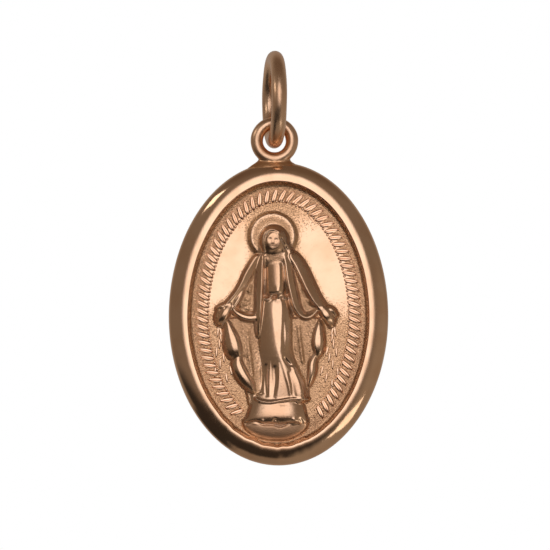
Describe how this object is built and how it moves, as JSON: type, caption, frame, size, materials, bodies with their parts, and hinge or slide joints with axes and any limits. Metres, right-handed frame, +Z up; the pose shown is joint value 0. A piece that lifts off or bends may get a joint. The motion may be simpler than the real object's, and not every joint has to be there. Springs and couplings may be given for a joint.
{
  "type": "religious medal pendant",
  "caption": "Oval struck medal pendant with a raised rim, a robed standing figure in relief, a leaf border, a soldered eye and a round-wire jump ring.",
  "frame": {"origin": "inside of the jump ring at its top, where a chain would lie", "axes": "+Z up as the pendant hangs, the medal's front faces -Y, +X to the viewer's right"},
  "size_m": [0.015, 0.0066, 0.0283],
  "materials": {
    "polished_rose_gold": "polished rose gold wire",
    "struck_rose_gold": "struck rose gold, polished on the high parts and darker and grained in the low ones"
  },
  "bodies": {
    "jump_ring": {"jump_ring": "polished_rose_gold"},
    "medal": {"medal": "struck_rose_gold"}
  },
  "joints": [
    {"name": "medal_swing", "type": "hinge", "parent": "jump_ring", "child": "medal", "pos_m": [0, 0, -0.00393], "axis": [1, 0, 0], "range_deg": [-40, 40]}
  ]
}
